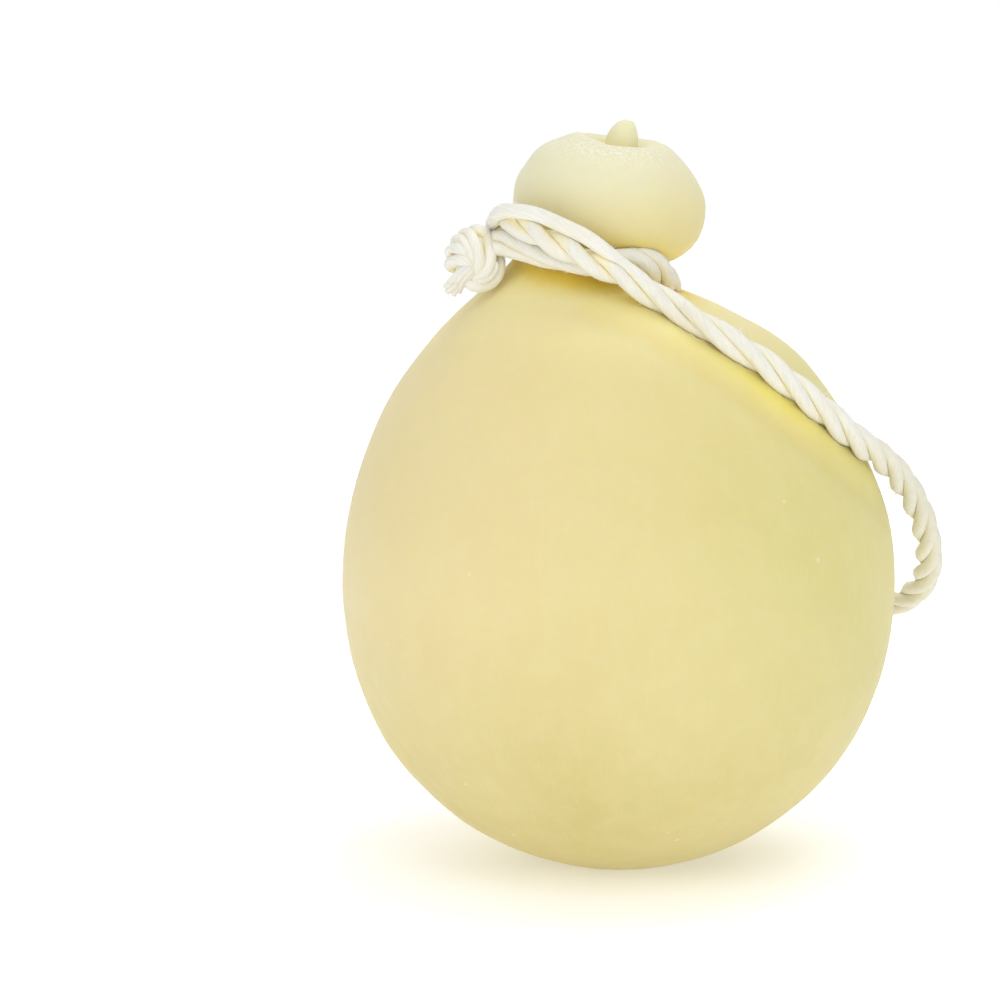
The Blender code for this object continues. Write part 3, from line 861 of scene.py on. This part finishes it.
def cheese_material():
    m = Nodes("cheese_rind")
    place = m.add("ShaderNodeTexCoord").outputs["Object"]
    shade_glow_powder = m.split(m.attribute("shade_glow_powder"))
    drawn = m.attribute("drawn")
    x, y, z = m.split(place)
    # Paler and rosier on the left, greener on the right; the head is paler than the ball.
    side = m.range(x, -0.055, 0.060)
    base = m.mix(side, linear(*ROSE), linear(*GREEN))
    # Painted shade: the colour turns darker towards the bottom of the ball.
    base = m.mix(m.range(z, 0.075, 0.004), base, linear(*LOW_SHADE))
    # Painted light: a paler band on the shoulder just under the neck, where the cord and head cast shade.
    lit = m.math("MULTIPLY", m.range(z, 0.108, 0.131), m.range(z, 0.130, 0.136, 1.0, 0.0))
    base = m.mix(lit, base, linear(251, 239, 178))
    base = m.mix(m.range(z, 0.134, 0.152), base, linear(*PALE))
    # Broad clouds of paler and deeper curd.
    clouds = m.range(m.noise(place, 20.0, 3.0, 0.5, 0.3), 0.34, 0.68)
    base = m.mix(m.math("MULTIPLY", clouds, 0.22), base, linear(240, 228, 178))
    warm = m.range(m.noise(m.scaled(place, (1, 1, 1), (3.1, 0.4, 1.7)), 14.0, 1.0, 0.4), 0.48, 0.74)
    base = m.mix(m.math("MULTIPLY", warm, 0.20), base, linear(232, 212, 142))
    fine = m.range(m.noise(place, 170.0, 3.0, 0.6), 0.40, 0.66)
    base = m.mix(m.math("MULTIPLY", fine, 0.09), base, linear(243, 233, 190))
    # Fine hair-like lines drawn from the neck down the ball.
    lines = m.range(m.noise(m.scaled(drawn, (74.0, 74.0, 5.5)), 1.0, 4.0, 0.62, 0.6), 0.50, 0.74)
    base = m.mix(m.math("MULTIPLY", lines, 0.045), base, linear(248, 241, 208))
    # A few pale specks.
    cells = m.add("ShaderNodeTexVoronoi", feature="F1")
    m.link(place, cells.inputs["Vector"])
    cells.inputs["Scale"].default_value = 210.0
    spot = m.range(cells.outputs["Distance"], 0.05, 0.14, 1.0, 0.0)
    chosen = m.range(m.noise(place, 60.0, 1.0), 0.60, 0.66)
    spot = m.math("MULTIPLY", spot, chosen)
    base = m.mix(m.math("MULTIPLY", spot, 0.45), base, linear(250, 245, 222))
    # Painted light and shade where the cord presses: a bright yellow painted glow under the cord's leg, and painted
    # amber shade in the creases at the neck, in the dimple round the nub and along the fold under the leg.
    base = m.mix(m.math("MULTIPLY", shade_glow_powder[2], 0.88), base, linear(253, 235, 124))
    amber_shade = m.math("MULTIPLY", shade_glow_powder[0], m.range(m.noise(drawn, 9.0, 3.0), 0.3, 0.7, 0.82, 1.0))
    base = m.mix(m.range(amber_shade, 0.06, 0.92), base, linear(251, 219, 98))
    # Powdery curd flecks on the lip.
    flecks = m.range(m.noise(place, 1500.0, 3.0, 0.7), 0.44, 0.60)
    base = m.mix(m.math("MULTIPLY", m.math("MULTIPLY", shade_glow_powder[1], flecks), 0.80), base, linear(253, 251, 238))
    m.link(base, m.shader.inputs["Base Color"])
    rough = m.range(m.noise(place, 90.0, 3.0), 0.3, 0.7, 0.44, 0.56)
    m.link(rough, m.shader.inputs["Roughness"])
    pores = m.noise(place, 900.0, 3.0, 0.65)
    grain = m.noise(place, 260.0, 3.0, 0.55)
    first = m.bump(lines, 0.06, 0.0006)
    second = m.bump(grain, 0.11, 0.0007, first)
    third = m.bump(pores, 0.12, 0.0002, second)
    dust = m.bump(m.math("MULTIPLY", shade_glow_powder[1], flecks), 0.35, 0.0003, third)
    m.link(dust, m.shader.inputs["Normal"])
    m.set(Subsurface_Weight=0.60, Subsurface_Scale=0.0065, Subsurface_Radius=(1.0, 0.78, 0.30),
          IOR=1.42, Specular_IOR_Level=0.30, Coat_Weight=0.0)
    return m.material


def cord_material(name="cord_fibre"):
    m = Nodes(name)
    fibre = m.attribute("fibre")
    place = m.add("ShaderNodeTexCoord").outputs["Object"]
    # Fine fibres, long along the strand.
    fine = m.noise(m.scaled(fibre, (0.22, 4.2, 4.2)), 1.0, 4.0, 0.62, 0.25)
    coarse = m.noise(m.scaled(fibre, (0.07, 1.5, 1.5)), 1.0, 2.0, 0.5)
    shade = m.range(fine, 0.34, 0.66)
    base = m.mix(shade, linear(237, 235, 222), linear(249, 248, 240))
    base = m.mix(m.math("MULTIPLY", m.range(coarse, 0.40, 0.66), 0.35), base, linear(244, 242, 230))
    # Painted shade: a warm yellow tone in the crevices between strands and deep in the knots.
    crease = m.split(m.attribute("crease"))[0]
    base = m.mix(m.math("MULTIPLY", crease, 0.85), base, linear(255, 245, 205))
    # Painted shade: the cord turns darker and duller towards the bottom, on the bow.
    low = m.range(m.split(place)[2], 0.104, 0.076)
    base = m.mix(m.math("MULTIPLY", low, 0.7), base, linear(224, 219, 196))
    soiled = m.range(m.noise(place, 95.0, 2.0), 0.5, 0.72)
    base = m.mix(m.math("MULTIPLY", soiled, 0.30), base, linear(240, 233, 205))
    m.link(base, m.shader.inputs["Base Color"])
    m.link(m.range(fine, 0.3, 0.7, 0.62, 0.50), m.shader.inputs["Roughness"])
    first = m.bump(fine, 0.42, 0.0002)
    second = m.bump(coarse, 0.30, 0.0004, first)
    m.link(second, m.shader.inputs["Normal"])
    m.set(Subsurface_Weight=0.12, Subsurface_Scale=0.0012, Subsurface_Radius=(1.0, 0.93, 0.72),
          Sheen_Weight=0.25, Sheen_Roughness=0.5, Specular_IOR_Level=0.35)
    return m.material


# ---- Floor and lights -----------------------------------------------------------------
def make_stage():
    m = Nodes("paper_floor")
    place = m.add("ShaderNodeTexCoord").outputs["Object"]
    tone = m.range(m.noise(place, 40.0, 2.0), 0.3, 0.7)
    m.link(m.mix(tone, (0.95, 0.955, 0.985, 1), (0.965, 0.97, 1.0, 1)), m.shader.inputs["Base Color"])
    m.set(Roughness=0.9, Specular_IOR_Level=0.1, Emission_Color=(1.0, 1.0, 0.99, 1.0), Emission_Strength=GLOW)
    mesh = bpy.data.meshes.new("floor")
    s = 40.0
    mesh.from_pydata([(-s, -s, 0), (s, -s, 0), (s, s, 0), (-s, s, 0)], [], [(0, 1, 2, 3)])
    mesh.materials.append(m.material)
    floor = bpy.data.objects.new("floor", mesh)
    bpy.context.scene.collection.objects.link(floor)

    world = bpy.context.scene.world or bpy.data.worlds.new("world")
    bpy.context.scene.world = world
    world.use_nodes = True
    sky = world.node_tree.nodes.get("Background") or world.node_tree.nodes.new("ShaderNodeBackground")
    # White at the horizon, a little dimmer overhead.
    tree = world.node_tree
    where = tree.nodes.new("ShaderNodeTexCoord")
    split = tree.nodes.new("ShaderNodeSeparateXYZ")
    fall = tree.nodes.new("ShaderNodeMapRange")
    fall.interpolation_type = "SMOOTHSTEP"
    tree.links.new(where.outputs["Generated"], split.inputs[0])
    tree.links.new(split.outputs[2], fall.inputs["Value"])
    for key, value in (("From Min", 0.10), ("From Max", 0.40), ("To Min", 1.02), ("To Max", WORLD)):
        fall.inputs[key].default_value = value
    sky.inputs["Color"].default_value = (1.0, 1.0, 1.0, 1.0)
    # The two sides are shaded a little, as by flags beside the table.
    flag = tree.nodes.new("ShaderNodeMath")
    flag.operation = "ABSOLUTE"
    tree.links.new(split.outputs[0], flag.inputs[0])
    shade = tree.nodes.new("ShaderNodeMapRange")
    shade.interpolation_type = "SMOOTHSTEP"
    tree.links.new(flag.outputs[0], shade.inputs["Value"])
    for key, value in (("From Min", 0.30), ("From Max", 0.95), ("To Min", 1.0), ("To Max", FLAGS)):
        shade.inputs[key].default_value = value
    both = tree.nodes.new("ShaderNodeMath")
    both.operation = "MULTIPLY"
    tree.links.new(fall.outputs["Result"], both.inputs[0])
    tree.links.new(shade.outputs["Result"], both.inputs[1])
    tree.links.new(both.outputs[0], sky.inputs["Strength"])

    def area(name, place, size, power, colour):
        data = bpy.data.lights.new(name, "AREA")
        data.shape = "DISK"
        data.size = size
        data.energy = power
        data.color = colour
        lamp = bpy.data.objects.new(name, data)
        bpy.context.scene.collection.objects.link(lamp)
        lamp.location = place
        lamp.rotation_euler = (Vector((0, 0, 0.08)) - Vector(place)).to_track_quat("-Z", "Y").to_euler()

    area("key", (0.15, -0.95, 1.20), 0.9, KEY, (1.0, 0.99, 0.96))
    area("top", (0.32, 0.22, 1.38), 0.9, TOP, (1.0, 1.0, 0.97))
    area("fill", (-0.95, -0.90, 0.55), 1.0, FILL, (1.0, 0.965, 0.95))


WORLD = 0.88
FLAGS = 0.30
KEY = 2.0
TOP = 3.6
FILL = 1.1
GLOW = 0.32


# ---- Everything together -----------------------------------------------------------------
make_camera()
bpy.context.scene.view_settings.view_transform = "Standard"

cord_look = cord_material()
laid, path, at, middles, marks = lay_cord()
cord = laid.build("tie_cord_laid", cord_look)
stopper = make_stopper(cord_look)
loop_knot = make_loop_knot(cord_look)
fuzz = make_fuzz(path, middles, marks, at, cord_look)
cheese = make_cheese(path, middles, at, marks, cheese_material())

for piece, node, slot in ((cord, "tie_cord", "cord"), (stopper, "stopper_knot", "cord"),
                          (loop_knot, "loop_knot", "cord"), (cheese, "cheese_ball", "cheese")):
    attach(piece, "root")
    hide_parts(node)
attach(fuzz, "root")

make_stage()

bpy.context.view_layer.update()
